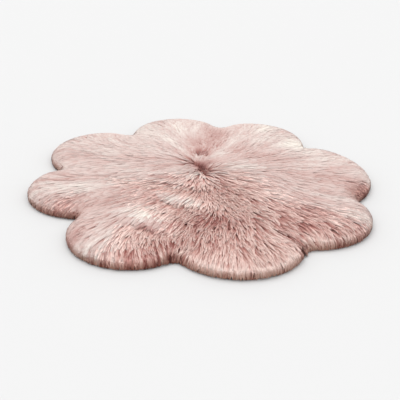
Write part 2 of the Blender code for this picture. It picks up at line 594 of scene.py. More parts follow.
random = np.random.default_rng(21)
grid_reach = rim_reach.max() + TUFT_SPACING
columns = np.arange(-grid_reach, grid_reach, TUFT_SPACING)
rows = np.arange(-grid_reach, grid_reach, TUFT_SPACING * math.sqrt(3) / 2)
grid = np.array([
    (x + (TUFT_SPACING / 2 if row % 2 else 0), y) for row, y in enumerate(rows) for x in columns])
grid += random.uniform(-TUFT_SHAKE, TUFT_SHAKE, grid.shape) * TUFT_SPACING
tuft_plan = middle + grid
tuft_plan = tuft_plan[rim_at(tuft_plan)[0] > EDGE_MARGIN]

random = np.random.default_rng(22)
crest_run = CREST_ENDS[1] - CREST_ENDS[0]
crest_tufts = CREST_ENDS[0] + random.uniform(0, 1, (CREST_TUFTS, 1)) * crest_run
crest_tufts += random.normal(0, CREST_SPREAD, crest_tufts.shape)
tuft_plan = np.concatenate((tuft_plan, crest_tufts))
tuft_count = len(tuft_plan)
print("tufts:", tuft_count, "of them at the crest:", CREST_TUFTS)

# %% Walking over the form
STRIDES = (0.30, 0.28, 0.24, 0.18)
JOINTS = len(STRIDES) + 1
FLOOR_GAP = 0.0012
COMB_PULL = 0.8

# How far the form faces up: 1 on the crown, 0 on an upright side, negative under the rim.
COMB_FADES = (0.5, 0.9)
UPRIGHT = 0.05
TURNED_UNDER = -0.15


def walk(start, facing, heading, length):
    """Places, facings and headings of paths over the form, a few strides from start."""
    places, facings, headings = [start], [facing], [heading]
    for stride_share in STRIDES:
        here, out, ahead = places[-1], facings[-1], headings[-1]
        stride = length * stride_share
        level = (out[:, 2:3] - COMB_FADES[0]) / (COMB_FADES[1] - COMB_FADES[0])
        wish = at_height(read_field(comb_field, here[:, :2]))
        ahead = ahead + COMB_PULL * np.clip(level, 0, 1) * wish
        ahead = unit(ahead - out * np.sum(ahead * out, axis=1, keepdims=True))
        hanging = out[:, 2] < UPRIGHT
        ahead[hanging] = (0, 0, -1)
        step, out = settle(here + ahead * stride[:, None])
        under = (out[:, 2] < TURNED_UNDER) | hanging
        step[under, :2] = here[under, :2]
        step[under, 2] = np.maximum(here[under, 2] - stride[under], FLOOR_GAP)
        out[under, 2] = 0
        out[under] = unit(out[under])
        step[:, 2] = np.maximum(step[:, 2], FLOOR_GAP)
        places.append(step)
        facings.append(unit(out))
        headings.append(ahead)
    return np.stack(places, 1), np.stack(facings, 1), np.stack(headings, 1)


print("a path has", JOINTS, "points")

# %% Tuft guides
LOCK_LENGTH = 0.078
LENGTH_LUCK = (0.82, 1.12)
TOUSLED_SHORTER = 0.28
CREST_SHORTER = 0.60
CREST_REACH = 0.026
CREST_CORE = 6
OVER_THE_RIM = 0.042
RIM_LUCK = (0.90, 1.04)
START_HEIGHT = 1.5 * pile_top

# How far a tuft turns from the comb by chance, in degrees.
SILKY_STRAY, TOUSLED_STRAY, CREST_STRAY, CREST_CORE_STRAY = 3, 6, 14, 35

tousle = tousled(tuft_plan)
tuft_start, tuft_facing = settle(at_height(tuft_plan, START_HEIGHT))
at_crest = np.exp(-(np.linalg.norm(from_crest(tuft_plan), axis=1) / CREST_REACH) ** 2)
stray = SILKY_STRAY + TOUSLED_STRAY * tousle + CREST_STRAY * at_crest
stray += CREST_CORE_STRAY * at_crest ** CREST_CORE
jitter = np.radians(random.normal(0, 1, tuft_count) * stray)
tuft_heading = at_height(turned_by(combed(tuft_plan), jitter))
tuft_length = LOCK_LENGTH * (1 - TOUSLED_SHORTER * tousle)
tuft_length *= random.uniform(*LENGTH_LUCK, tuft_count)
tuft_length *= 1 - CREST_SHORTER * at_crest
tuft_depth, _ = rim_at(tuft_plan)
way_to_floor = (tuft_depth + OVER_THE_RIM) * random.uniform(*RIM_LUCK, tuft_count)
tuft_length = np.minimum(tuft_length, way_to_floor)
guides, guide_facing, guide_heading = walk(tuft_start, tuft_facing, tuft_heading, tuft_length)
print("longest guide in millimetres:", in_mm(tuft_length.max()))

# %% [markdown]
# ## Locks
# Each guide now carries a handful of locks. Their roots spread over the tuft's patch of cloth
# and their tips draw together, more in tousled places than in silky ones. A lock rises from deep
# in the pile to the surface and ends there, some a little above their neighbours and some below,
# which gives the surface its shingled depth. A slow sideways wave keeps them from looking ruled.

# %% Lock paths along the guides
LOCKS_PER_TUFT = 3
GOLDEN_TURN = 2.39996
TUFT_SPREAD = 0.0046
AHEAD_KEPT = 0.6
GATHER_LUCK = 0.10
MOST_GATHERED = 0.9
WAVE = 0.0014
BOW = 0.0040
BOW_DRIFT = (1, 0.030, 32)
TUFT_BOW = 0.5
LOCK_BOW = 0.3
TIP_LENGTHS = (0.5, 1.4)

# Pairs of values, the first for silky pile and the second for tousled pile.
GATHER = (0.10, 0.45)
BOW_SHARE = (0.6, 2.2)


def by_tousle(pair, tousle):
    """A value between that of silky pile and that of tousled pile."""
    return pair[0] + (pair[1] - pair[0]) * tousle


lock_tuft = np.repeat(np.arange(tuft_count), LOCKS_PER_TUFT)
lock_count = len(lock_tuft)
random = np.random.default_rng(31)
member = np.tile(np.arange(LOCKS_PER_TUFT), tuft_count)
ring_turn = member * GOLDEN_TURN + random.uniform(0, 2 * math.pi, tuft_count)[lock_tuft]
ring_reach = TUFT_SPREAD * np.sqrt((member + 0.5) / LOCKS_PER_TUFT)
offset_ahead = ring_reach * np.cos(ring_turn)
offset_aside = ring_reach * np.sin(ring_turn)
lock_tousle = tousle[lock_tuft]
gather = by_tousle(GATHER, lock_tousle)
gather = np.clip(gather + random.normal(0, GATHER_LUCK, lock_count), 0, MOST_GATHERED)

guide_aside = unit(np.cross(guide_facing, guide_heading))
share = np.concatenate(((0.0,), np.cumsum(STRIDES)))
tuft_bow = drift(tuft_plan, *BOW_DRIFT) * by_tousle(BOW_SHARE, tousle)
tuft_bow += TUFT_BOW * random.normal(0, 1, tuft_count)
bow = BOW * (tuft_bow[lock_tuft] + LOCK_BOW * random.normal(0, 1, lock_count))
sway = WAVE * random.normal(0, 1, tuft_count)[lock_tuft]
sway += WAVE / 2 * random.normal(0, 1, lock_count)
bend = bow[:, None] * share ** 2 + sway[:, None] * np.sin(math.pi * share)
aside = offset_aside[:, None] * (1 - gather[:, None] * share) + bend
length_scale = random.uniform(*TIP_LENGTHS, lock_count)
rough_path = (
    guides[lock_tuft]
    + guide_aside[lock_tuft] * aside[:, :, None]
    + guide_heading[lock_tuft] * (offset_ahead[:, None] * (1 - AHEAD_KEPT * share))[:, :, None])
last_stride = rough_path[:, -1] - rough_path[:, -2]
rough_path[:, -1] = rough_path[:, -2] + last_stride * length_scale[:, None]
print("locks:", lock_count)

# %% Settling the locks in the pile
# How deep a lock lies at each of its points, in metres, silky and tousled.
SINK = np.array(((0.0060, 0.0030, 0.0015, 0.0008, 0.0009), (0.0100, 0.0062, 0.0034, 0.0014, 0.0012)))
LAYER_SINK = np.array((0.0, 0.0026, 0.0034, 0.0034, 0.0032))
ROOT_BELOW_UNDERFUR = 0.0115
WALL_SINK = 0.0020
WALL_STARTS = 0.6
RUFFLE = (0.14, 1.0)
MORE_ON_TOP = 1.5
TIP_LUCK = 0.0012
TOUSLED_TIP_LIFT = (-0.001, 0.0035)

flat_path = rough_path.reshape(-1, 3)
on_form, out = settle(flat_path)
hanging = out[:, 2] < TURNED_UNDER
on_form[hanging, 2] = flat_path[hanging, 2]
on_form[hanging, :2] = guides[lock_tuft].reshape(-1, 3)[hanging, :2]
out[hanging, 2] = 0
out = unit(out).reshape(lock_count, JOINTS, 3)
on_form = on_form.reshape(lock_count, JOINTS, 3)

layer = random.uniform(0, 1, lock_count) ** MORE_ON_TOP
ruffle = by_tousle(RUFFLE, lock_tousle)
tip_lift = TIP_LUCK * ruffle * random.normal(0, 1, lock_count)
tip_lift += lock_tousle * random.uniform(*TOUSLED_TIP_LIFT, lock_count)
sink = by_tousle(SINK, lock_tousle[:, None])
sink += LAYER_SINK * (layer * ruffle)[:, None]
sink[:, -1] -= tip_lift
sink[:, 0] += (ROOT_BELOW_UNDERFUR - sink[:, 0]) * at_crest[lock_tuft] ** 2
on_wall = np.clip((WALL_STARTS - out[:, :, 2]) / WALL_STARTS, 0, 1)
sink -= on_wall * (WALL_SINK * share)
lock_path = on_form - out * sink[:, :, None]
lock_path[:, :, 2] = np.maximum(lock_path[:, :, 2], FLOOR_GAP)
print("tips lie on average", in_mm(sink[:, -1].mean()), "millimetres deep")

# %% [markdown]
# ## Ridges, hollows and partings
# Now the strands and clumps lift and lower the locks that were laid evenly over the form, and
# turn them a little to the side, so that light finds ridges and hollows. Beside a gap the locks
# move away from it. A parting does the same on purpose, along one line: tips fall to both sides
# and sink, and the deeper rose of the roots shows.

# %% Ridges and hollows
STRAND_HEIGHT = 0.0009
STRAND_LIMIT = 1.6
CLUMP_HEIGHT = 0.0022
GAP_WIDTH = 0.45
GAP_PUSH = 0.0018
STEEPEST = 0.9
RELIEF = (0.14, 1.09)
JOINT_RELIEF = (0.0, 0.5, 1.0, 1.0, 1.0)
RELIEF_FADE = 1.5
LEAST_LEAN = 0.3


def strand_at(plan):
    """The strands' field at places in plan, without its rare extremes."""
    return np.clip(read_field(strands, plan), -STRAND_LIMIT, STRAND_LIMIT)


def relief(plan, ruffled):
    """Height of the pile's ridges and hollows at places in plan, its slope, and the gaps."""
    clump = read_field(clumps, plan)
    gap = np.exp(-(clump / GAP_WIDTH) ** 2)
    height = ruffled * (STRAND_HEIGHT * strand_at(plan) - CLUMP_HEIGHT * gap)
    gap_side = CLUMP_HEIGHT * (2 * clump * gap / GAP_WIDTH ** 2)
    slope = STRAND_HEIGHT * read_field(strand_slope, plan)
    slope += gap_side[:, None] * read_field(clump_slope, plan)
    slope *= ruffled[:, None]
    steep = np.linalg.norm(slope, axis=1, keepdims=True)
    return height, slope * np.minimum(1, STEEPEST / np.maximum(steep, TINY)), gap


ruffled = np.clip(by_tousle(RELIEF, lock_tousle), 0, 1)
lean_out = out.copy()
for step, amount in enumerate(JOINT_RELIEF):
    plan = lock_path[:, step, :2].copy()
    amount = amount * np.clip(RELIEF_FADE * out[:, step, 2], 0, 1)
    height, slope, gap = relief(plan, ruffled * amount)
    side = np.sign(read_field(clumps, plan))[:, None] * unit(read_field(clump_slope, plan))
    lock_path[:, step, :2] += side * (gap * ruffled * amount)[:, None] * GAP_PUSH
    lock_path[:, step] += out[:, step] * height[:, None]
    lean_out[:, step, :2] -= slope * np.maximum(out[:, step, 2:], LEAST_LEAN)
lean_out = unit(lean_out)
lock_path[:, :, 2] = np.maximum(lock_path[:, :, 2], FLOOR_GAP)
print("relief in millimetres:", in_mm((height.min(), height.max())))

# %% Partings
PARTING_SPREAD = 2.2
PARTING_PUSH = 1.2
PARTING_DROP = 0.007
TIP_STAYS_UP = 0.3
JOINT_PARTING = (0.0, 0.4, 0.8, 1.0, 1.0)

plan = lock_path[:, 2, :2].copy()
for patch in PARTINGS:
    along, across = patch_frame(plan, patch)
    near = patch.amount * np.exp(-along ** 4) * np.exp(-(across / PARTING_SPREAD) ** 2)
    bearing = math.radians(patch.bearing)
    sideways = np.array((-math.sin(bearing), math.cos(bearing), 0))
    push = near * np.sign(across) * patch.width * PARTING_PUSH
    for step in range(1, JOINTS):
        amount = JOINT_PARTING[step]
        lock_path[:, step] += sideways * (push * amount)[:, None]
        lock_path[:, step, 2] -= near * PARTING_DROP * (1 - TIP_STAYS_UP * amount)
lock_path[:, :, 2] = np.maximum(lock_path[:, :, 2], FLOOR_GAP)
print("partings:", len(PARTINGS))

# %% [markdown]
# ## The skirt
# Where the cloth is cut, the outermost hair hangs over the edge to the floor and hides it. These
# locks are laid apart from the rest, so that no place on the rim stays bare. They start a little
# way up the side and hang nearly straight, lean the way that the pile above them is combed, and
# draw together in clumps a centimetre apart, which gives the rim its fringed look.

# %% Skirt locks
SKIRT_LOCKS = 2800
SKIRT_INSET = np.array((0.012, 0.006, 0.003, 0.003, 0.005))
SKIRT_DOWN = np.array((0.0, 0.30, 0.58, 0.82, 1.0))
SKIRT_TOP = (0.008, 0.026)
SKIRT_CLUMP = 0.010
CLUMP_SHAKE = 0.35
CLUMP_DRAW = 0.7
COMB_LEAN = 1.2
LEAN_LUCK = 0.005
PLACE_LUCK = 0.002
INSET_LUCK = (0.7, 1.3)

random = np.random.default_rng(35)
spot = random.integers(0, OUTLINE_RAYS, SKIRT_LOCKS)
skirt_out = at_height(rim_outward[spot])
skirt_along = skirt_out[:, (1, 0, 2)] * (-1, 1, 1)
skirt_top = random.uniform(*SKIRT_TOP, SKIRT_LOCKS)
inset = SKIRT_INSET * random.uniform(*INSET_LUCK, SKIRT_LOCKS)[:, None]
lean = random.normal(0, LEAN_LUCK, SKIRT_LOCKS)[:, None] * SKIRT_DOWN
lean = lean + random.uniform(-PLACE_LUCK, PLACE_LUCK, SKIRT_LOCKS)[:, None]
rim_steps = np.linalg.norm(np.diff(outline, axis=0), axis=1)
along_rim = np.concatenate(((0.0,), np.cumsum(rim_steps)))
clump_places = np.arange(0, along_rim[-1], SKIRT_CLUMP)
clump_places += random.uniform(-CLUMP_SHAKE, CLUMP_SHAKE, len(clump_places)) * SKIRT_CLUMP
nearest_clump = np.argmin(np.abs(along_rim[spot][:, None] - clump_places), axis=1)
to_clump = clump_places[nearest_clump] - along_rim[spot]
combed_along = np.sum(combed(outline[spot]) * skirt_along[:, :2], axis=1)
lean += (CLUMP_DRAW * to_clump + COMB_LEAN * combed_along * skirt_top)[:, None] * SKIRT_DOWN
skirt_path = (
    at_height(outline[spot])[:, None, :]
    - skirt_out[:, None, :] * inset[:, :, None]
    + skirt_along[:, None, :] * lean[:, :, None])
skirt_path[:, :, 2] = FLOOR_GAP + skirt_top[:, None] * (1 - SKIRT_DOWN)
print("skirt clumps:", len(clump_places), "on a rim of millimetres:", in_mm(along_rim[-1]))

# %% Pile and skirt together
skirt_facing = np.repeat(skirt_out[:, None, :], JOINTS, axis=1)
lock_path = np.concatenate((lock_path, skirt_path))
out = np.concatenate((out, skirt_facing))
lean_out = np.concatenate((lean_out, skirt_facing))
lock_plan = np.concatenate((tuft_plan[lock_tuft], skirt_path[:, 0, :2]))
lock_tousle = np.concatenate((lock_tousle, np.full(SKIRT_LOCKS, 0.5)))
ruffled = np.concatenate((ruffled, np.full(SKIRT_LOCKS, 1.0)))
layer = np.concatenate((layer, random.uniform(0, 0.5, SKIRT_LOCKS)))
lock_count = len(lock_path)
print("locks with the skirt:", lock_count)

# %% [markdown]
# ## From paths to solid locks
# Fur could be grown as hair, but hair is no mesh and is lost when the rug is passed on, and it
# could be flat cards, but they vanish when they are seen from the side. So a lock is drawn as a
# small tapered tent: a ridge along the top, two sides that reach down deep between its
# neighbours, so that no gap shows the bare ground, and a floor that closes it. It ends in a
# point at the tip. Smooth shading makes it look round, and with 22 triangles a lock the whole
# rug stays affordable. All the locks of a petal are written as one joined mesh, straight from
# arrays, because forty thousand small objects would be far too slow.
#
# Every lock also gets its place on a small chart of tones, in a UV map. Across the chart runs
# the way from root to tip, and past the tip lies the brown end, painted shade for hair near the
# floor. Up the chart are narrow strips from pale to deep, first for silky locks and then for rosy
# ones.
# The finish reads only that chart, so the same colours can be baked to a small picture later.

# %% One lock's shape
RING_WIDTHS = (0.75, 1.0, 1.0, 0.78)
RINGS = len(RING_WIDTHS)
CORNERS = 3 * RINGS + 1
LOCK_TRIANGLES = 6 * RINGS - 2

# Across and up from the path, in lock widths: a foot, the ridge, the other foot.
TENT = ((-0.5, -0.90), (0.0, 0.15), (0.5, -0.90))
ROUND_SIDE = 1.7
ROUND_TOP = 1.15
TIP_NOD = 0.3

# Corner numbers of a lock's faces: the four-sided ones, then the triangles at its ends.
SIDES = ((0, 1), (1, 2), (2, 0))
LAST = 3 * (RINGS - 1)
QUADS = [
    (3 * k + a, 3 * k + 3 + a, 3 * k + 3 + b, 3 * k + b) for k in range(RINGS - 1) for a, b in SIDES]
ENDS = [*((LAST + a, CORNERS - 1, LAST + b) for a, b in SIDES), (0, 1, 2)]
print("corners in a lock:", CORNERS, "triangles:", LOCK_TRIANGLES)

# %% Solid locks and their chart places
TONE_STRIPS = 64
STRIP_SHARE = 0.84
CHART_ROOT, CHART_TIP, CHART_BROWN_SHADE = 0.02, 0.85, 0.99
CHART_EDGE = 0.01
BROWN_SHADE_HEIGHT = 0.032
BROWN_SHADE_RISE = 1.4
FAINTEST_BROWN_SHADE = 0.08

# A lock's own finish: how evenly it is lit, its strip, how much painted shade deepens its sides
# and how pale its tip are on the chart, how much painted brown shade it has at any height, and how
# strongly that brown shade shows on it.
Finish = namedtuple("Finish", "softness strip side_depth paleness browned browning")


def lock_solids(path, facing, aside, width, thickness, finish):
    """Corners, normals and chart places of solid locks."""
    count = len(path)
    ahead = path[:, 1:] - path[:, :-1]
    ahead[:, 1:] += ahead[:, :-1].copy()
    ahead = unit(ahead)
    above = unit(np.cross(ahead, aside[:, :-1]))
    beside = np.cross(above, ahead)
    soft = finish.softness[:, None]
    corners = np.empty((count, CORNERS, 3))
    normals = np.empty((count, CORNERS, 3))
    chart = np.empty((count, CORNERS, 2))
    for ring, scale in enumerate(RING_WIDTHS):
        size = (width * scale)[:, None]
        along = CHART_ROOT + (CHART_TIP - CHART_ROOT) * share[ring] * finish.paleness
        for corner, (across, height) in enumerate(TENT):
            number = ring * 3 + corner
            corners[:, number] = (
                path[:, ring]
                + beside[:, ring] * size * across
                + above[:, ring] * size * height * thickness[:, None])
            rounded = ROUND_SIDE * across * beside[:, ring]
            rounded = rounded + (ROUND_TOP - 2 * abs(across)) * above[:, ring]
            normals[:, number] = unit(soft * facing[:, ring] + (1 - soft) * rounded)
            # Painted shade: the feet of a lock's sides move towards the root's colour on the chart.
            edge = along - 2 * abs(across) * finish.side_depth
            chart[:, number, 0] = np.maximum(edge, CHART_EDGE)
            chart[:, number, 1] = (finish.strip + 0.5 + STRIP_SHARE * across) / TONE_STRIPS
    corners[:, -1] = path[:, -1]
    normals[:, -1] = unit(facing[:, -1] + TIP_NOD * ahead[:, -1])
    chart[:, -1, 0] = CHART_TIP * finish.paleness
    chart[:, -1, 1] = (finish.strip + 0.5) / TONE_STRIPS
    # Painted brown shade at the foot of the rim: the lower a corner, the further past the tip it sits.
    low = np.clip(BROWN_SHADE_RISE * (1 - corners[:, :, 2] / BROWN_SHADE_HEIGHT), 0, 1)
    low = np.maximum(low, finish.browned[:, None]) * finish.browning[:, None]
    past_tip = CHART_TIP + (CHART_BROWN_SHADE - CHART_TIP) * low
    chart[:, :, 0] = np.where(low > FAINTEST_BROWN_SHADE, past_tip, chart[:, :, 0])
    return corners, normals, chart


print("chart strips:", TONE_STRIPS)

# %% Many locks as one mesh
# The map of this name is the one that colours would be baked to.
CHART_MAP = "OFBake"


def joined_mesh(name, corners, normals, chart, material):
    """One mesh object that holds every lock handed in."""
    count = len(corners)
    base = (np.arange(count) * CORNERS)[:, None]
    order = np.concatenate((
        (base + np.array(QUADS).ravel()).ravel(),
        (base + np.array(ENDS).ravel()).ravel())).astype(np.int32)
    totals = np.concatenate((
        np.full(count * len(QUADS), 4), np.full(count * len(ENDS), 3))).astype(np.int32)
    starts = np.concatenate(((0,), np.cumsum(totals)[:-1])).astype(np.int32)
    mesh = bpy.data.meshes.new(name)
    mesh.vertices.add(count * CORNERS)
    mesh.vertices.foreach_set("co", corners.astype(np.float32).ravel())
    mesh.loops.add(len(order))
    mesh.loops.foreach_set("vertex_index", order)
    mesh.polygons.add(len(totals))
    mesh.polygons.foreach_set("loop_start", starts)
    mesh.polygons.foreach_set("use_smooth", np.ones(len(totals), dtype=bool))
    mesh.update(calc_edges=True)
    chart_map = mesh.uv_layers.new(name=CHART_MAP)
    chart_map.data.foreach_set("uv", chart.reshape(-1, 2)[order].astype(np.float32).ravel())
    mesh.validate()
    mesh.normals_split_custom_set_from_vertices(normals.reshape(-1, 3).tolist())
    mesh.materials.append(material)
    return new_object(name, mesh)


print("UV map with the chart:", CHART_MAP)

# %% [markdown]
# ## The fur's finish
# The pile is a synthetic fur, soft acrylic or polyester fibre, dyed a dusty rose and tipped
# paler. Light goes deep between the fibres and comes back warmer, so the roots look like a
# deeper rose and the tips almost cream, and the deep root tones paint that shade in. Silky locks
# are paler and greyer, tousled ones rosier. Low on the rim the hair gets a painted brown shade,
# deepest near the floor. The fibre itself is a plastic with an index near 1.5, and thousands of
# them side by side give a velvety sheen instead of a gloss.
#
# Single fibres are about 0.03 mm thick. The streaks here are drawn far coarser, about a
# millimetre apart, so that they can be seen at all.

# %% Fur finish
# Place up the chart, colour at the tip and colour at the root: first silky, then rosy. The
# deep root colours are partly painted shade from the depths of the pile.
TONES = (
    (0.0, "#e3dcd2", "#d2b9af"), (0.10, "#d6cac3", "#c29f96"), (0.20, "#c9b5af", "#b2837a"),
    (0.31, "#bb9b94", "#985f57"), (0.42, "#a27a74", "#743a35"), (0.499, "#7f504a", "#52231f"),
    (0.501, "#f3dad1", "#cc9f95"), (0.62, "#e5c4bb", "#b67e75"), (0.75, "#cf9f96", "#94554d"),
    (0.87, "#ab6e67", "#6e322d"), (1.0, "#7c443e", "#4a1d19"))
TIP_FROM, TIP_FULL = 0.12, 0.66
BROWN_SHADE_HALVES_TIP = 0.92
STREAKS_PER_LOCK = 4
STREAKS_ALONG = 3.0

# Where a node that mixes colours takes its share and its two colours, and where it gives them.
SHARE, FROM, TO, MIXED = 0, 6, 7, 2

fur_finish, tree = blank_material("dusty rose synthetic fur")
chart_place = add(tree, "ShaderNodeUVMap", uv_map=CHART_MAP)
parts = add(tree, "ShaderNodeSeparateXYZ", {"Vector": chart_place})
tip_tone, root_tone = (
    add(tree, "ShaderNodeValToRGB", {"Fac": parts.outputs["Y"]},
        stops=[(row[0], row[column]) for row in TONES]) for column in (1, 2))
tip_share = add(tree, "ShaderNodeMapRange", {
    "Value": parts, "From Min": TIP_FROM, "From Max": TIP_FULL}, interpolation_type="SMOOTHSTEP")
# In the painted brown shade near the floor the pale tip is held back, to half at most.
held_back = add(tree, "ShaderNodeMapRange", {
    "Value": parts, "From Min": CHART_TIP, "From Max": BROWN_SHADE_HALVES_TIP, "To Min": 1.0, "To Max": 0.5})
paled = add(tree, "ShaderNodeMath", {0: tip_share, 1: held_back}, operation="MULTIPLY")
dyed = add(tree, "ShaderNodeMix", {SHARE: paled, FROM: root_tone, TO: tip_tone}, data_type="RGBA")
# Painted brown shade: past the tip on the chart the colour is multiplied by a warm brown.
brown_shade_share = add(tree, "ShaderNodeMapRange", {
    "Value": parts, "From Min": CHART_TIP, "From Max": 1.0})
browned = add(tree, "ShaderNodeMix", {
    SHARE: brown_shade_share, FROM: dyed.outputs[MIXED], TO: dye("#b0977f")},
    data_type="RGBA", blend_type="MULTIPLY")
streak_place = add(tree, "ShaderNodeVectorMath", {
    0: chart_place, 1: (STREAKS_ALONG, TONE_STRIPS * STREAKS_PER_LOCK, 0.0)}, operation="MULTIPLY")
streaks = add(tree, "ShaderNodeTexNoise", {
    "Vector": streak_place, "Scale": 1.0, "Detail": 2.0, "Roughness": 0.6})
streak_shade = add(tree, "ShaderNodeMapRange", {
    "Value": streaks, "From Min": 0.3, "From Max": 0.7, "To Min": 0.86, "To Max": 1.06})
streaked = add(tree, "ShaderNodeVectorMath", {
    0: browned.outputs[MIXED], "Scale": streak_shade}, operation="SCALE")
fibre_relief = add(tree, "ShaderNodeBump", {"Height": streaks, "Strength": 0.35, "Distance": 0.0004})
shader = add(tree, "ShaderNodeBsdfPrincipled", {
    "Base Color": streaked, "Normal": fibre_relief, "Roughness": 0.62, "IOR": 1.5,
    "Specular IOR Level": 0.15, "Sheen Weight": 0.15, "Sheen Roughness": 0.5,
    "Sheen Tint": dye("#f6d9d1")})
add(tree, "ShaderNodeOutputMaterial", {"Surface": shader})
print("fur finish has", len(tree.nodes), "nodes")

# %% [markdown]
# ## Each lock's tone and shape
# A lock's tone is its family's tone plus what the tables say, with slow drifts, streaks along the
# comb, painted light on the ridges, painted shade in the gaps and on the rim's skirt, and a little
# luck. The more tousled a place is, the more of its locks are of the rosy family, so one kind of
# fur passes softly into the other. Tousled locks are also narrower and rounder, and their sides
# get more painted shade, in the root's colour.

# %% Tone of each lock
SILKY_TONE = 0.40
ROSY_TONE = 0.07
ROSY_FROM, ROSY_OVER = 0.15, 0.45
TONE_DRIFT = (0.08, 0.10, 41)
STREAK_TONE = 0.06
STRAND_LIGHT_AND_SHADE = 0.16
GAP_SHADE = 0.31
SKIRT_SHADE = 0.10
CLUMP_GAP_SHADE = 0.60
TONE_LUCK = (0.015, 0.035)

random = np.random.default_rng(45)
tuft_luck = np.concatenate((random.normal(0, 1, tuft_count)[lock_tuft], np.zeros(SKIRT_LOCKS)))
seen_plan = lock_path[:, 3, :2]
rosy = random.uniform(0, 1, lock_count) < (lock_tousle - ROSY_FROM) / ROSY_OVER
luck = by_tousle(TONE_LUCK, lock_tousle)
# Painted light and shade: locks on the strands' ridges are paler, and near gaps between clumps deeper.
tone = (
    np.where(rosy, ROSY_TONE, SILKY_TONE) + patched(seen_plan, TONE_AND_LIGHT_PATCHES)
    + drift(lock_plan, *TONE_DRIFT)
    + STREAK_TONE * read_field(tone_streaks, seen_plan)
    - STRAND_LIGHT_AND_SHADE * ruffled * strand_at(seen_plan)
    + GAP_SHADE * ruffled * np.exp(-(read_field(clumps, seen_plan) / GAP_WIDTH) ** 2)
    + luck * tuft_luck
    + luck * random.normal(0, 1, lock_count))
# Painted shade: skirt locks are a little deeper than the pile above, and deeper still between clumps.
tone[-SKIRT_LOCKS:] += SKIRT_SHADE + CLUMP_GAP_SHADE * np.abs(to_clump) / SKIRT_CLUMP
family = TONE_STRIPS // 2
strip = np.clip(tone * family, 0, family - 1).astype(int) + rosy * family
print("rosy locks:", int(rosy.sum()), "silky locks:", int((~rosy).sum()))

# %% Shape of each lock
LOCK_WIDTH = 0.0026
WIDTH_LUCK = (0.8, 1.2)
DEEP_WIDTH = 0.85
CREST_NARROWER = 0.42
NARROWER_FROM = 0.3
BROWN_SHADING_LUCK = (0.6, 1.0)

# Pairs for silky and tousled pile again; the roll is in degrees.
ROLL = (2, 14)
WIDENING = (1.35, 1.0)
LAYER_WIDENING = (1.1, 0.3)
THICKNESS = (0.40, 0.60)
SOFTNESS = (0.88, 0.50)
PAINTED_SIDE_SHADE = (0.0, 0.15)
PALENESS = (1.0, 0.75)

finish = Finish(
    softness=by_tousle(SOFTNESS, lock_tousle),
    strip=strip,
    side_depth=by_tousle(PAINTED_SIDE_SHADE, lock_tousle),
    paleness=by_tousle(PALENESS, lock_tousle),
    browned=np.clip(patched(seen_plan, BROWN_SHADE_PATCHES) - FAINTEST_BROWN_SHADE, 0, 1),
    browning=random.uniform(*BROWN_SHADING_LUCK, lock_count))
strides = np.diff(lock_path, axis=1)
lock_aside = unit(np.cross(out, np.concatenate((strides, strides[:, -1:]), axis=1)))
roll = np.radians(random.normal(0, 1, lock_count) * by_tousle(ROLL, lock_tousle))
lock_aside = unit(lock_aside + out * np.tan(roll)[:, None, None])
lock_width = LOCK_WIDTH * random.uniform(*WIDTH_LUCK, lock_count) * by_tousle(WIDENING, lock_tousle)
lock_width *= DEEP_WIDTH + by_tousle(LAYER_WIDENING, lock_tousle) * layer
lock_width[:-SKIRT_LOCKS] *= 1 - CREST_NARROWER * at_crest[lock_tuft] ** NARROWER_FROM
corners, normals, chart = lock_solids(
    lock_path, lean_out, -lock_aside, lock_width, by_tousle(THICKNESS, lock_tousle), finish)
print("lock widths in millimetres:", in_mm(np.percentile(lock_width, (5, 50, 95))))

# %% The pile, petal by petal
HEART_REACH = 0.235
PETAL_BEARINGS = {
    "right": 14, "right_back": 63, "back": 103, "left_back": 151,
    "left": 195, "left_front": 241, "front": 285, "right_front": 327}

root_from_middle = lock_plan - middle
in_heart = np.linalg.norm(root_from_middle, axis=1) < HEART_REACH
root_bearing = np.degrees(np.arctan2(root_from_middle[:, 1], root_from_middle[:, 0]))
turns = (root_bearing[:, None] - np.array(list(PETAL_BEARINGS.values())) + 180) % 360 - 180
nearest_petal = np.argmin(np.abs(turns), axis=1)
pile = []
for number, petal in enumerate([*PETAL_BEARINGS, "heart"]):
    chosen = in_heart if petal == "heart" else (nearest_petal == number) & ~in_heart
    piece = joined_mesh("pile_" + petal, corners[chosen], normals[chosen], chart[chosen], fur_finish)
    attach(piece, "root")
    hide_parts("fur_rug")
    pile.append(piece)
    locks = int(chosen.sum())
    print(piece.name, locks, "locks", locks * LOCK_TRIANGLES, "triangles")

# %% [markdown]
# ## Underfur
# Between the long guard hairs of a fur cloth stands a short, dense underfur that keeps the eye
# from ever reaching the ground. Nobody sees its hairs one by one, only a soft darkness at the
# bottom of a parting, so here it is one closed body: the form again, sunk nearly a centimetre.
# Matted fibre is rough and dull: a deeper rose, darkened further to paint in the shade at the
# bottom of the pile, with a mottled grain of a few millimetres.

# %% Underfur
UNDERFUR_SINK = 0.0095
UNDERFUR_FLOOR = 0.0032
FLAT_UNDERSIDE = 0.0005
MATTED_GRAIN = 0.00625

mesh = bpy.data.meshes.new("underfur")
mesh.from_pydata(form_places.tolist(), [], form_faces)
mesh.update()
under_out = np.empty(len(mesh.vertices) * 3)
mesh.vertices.foreach_get("normal", under_out)
sunk = form_places - under_out.reshape(-1, 3) * UNDERFUR_SINK
sunk[:, 2] = np.maximum(sunk[:, 2], UNDERFUR_FLOOR)
sunk[form_places[:, 2] < FLAT_UNDERSIDE, 2] = UNDERFUR_FLOOR
mesh.vertices.foreach_set("co", sunk.astype(np.float32).ravel())
mesh.polygons.foreach_set("use_smooth", np.ones(len(mesh.polygons), dtype=bool))
mesh.update()

under_finish, tree = blank_material("matted rose underfur in painted shade")
where = add(tree, "ShaderNodeTexCoord").outputs["Object"]
mottle = add(tree, "ShaderNodeTexNoise", {
    "Vector": where, "Scale": 1 / MATTED_GRAIN, "Detail": 3.0})
